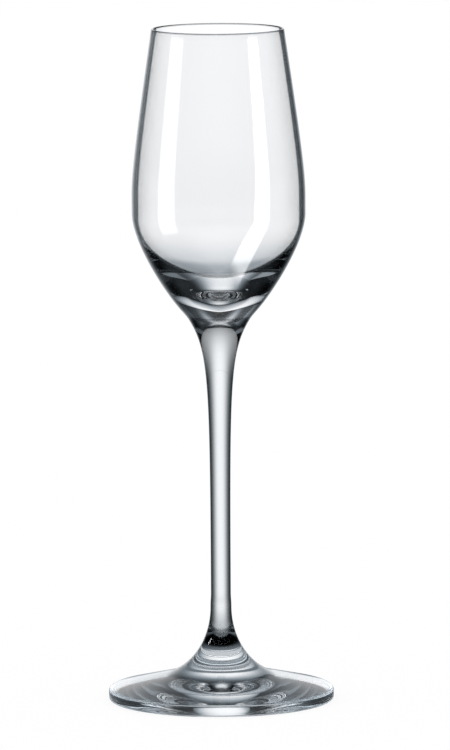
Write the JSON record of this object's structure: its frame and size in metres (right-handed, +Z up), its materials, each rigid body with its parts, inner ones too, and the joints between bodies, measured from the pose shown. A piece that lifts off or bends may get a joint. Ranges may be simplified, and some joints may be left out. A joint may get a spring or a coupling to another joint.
{
  "type": "cordial glass",
  "caption": "Clear stemmed cordial glass: a small tulip bowl on a slender stem that flares into it, and a round foot to stand on, for serving liqueurs and cordials.",
  "frame": {"origin": "centre of the foot, on the surface that the glass stands on", "axes": "+Z up along the axis that every piece is turned about, from the foot to the rim; X and Y are alike"},
  "size_m": [0.0602, 0.0602, 0.18],
  "materials": {
    "blown_glass": "clear, fire-polished, thin-walled blown glass",
    "drawn_glass": "clear, fire-polished solid glass",
    "pressed_glass": "clear pressed glass, smoothed in the flame"
  },
  "bodies": {
    "root": {"bowl": "blown_glass", "stem": "drawn_glass", "foot": "pressed_glass"}
  },
  "joints": []
}
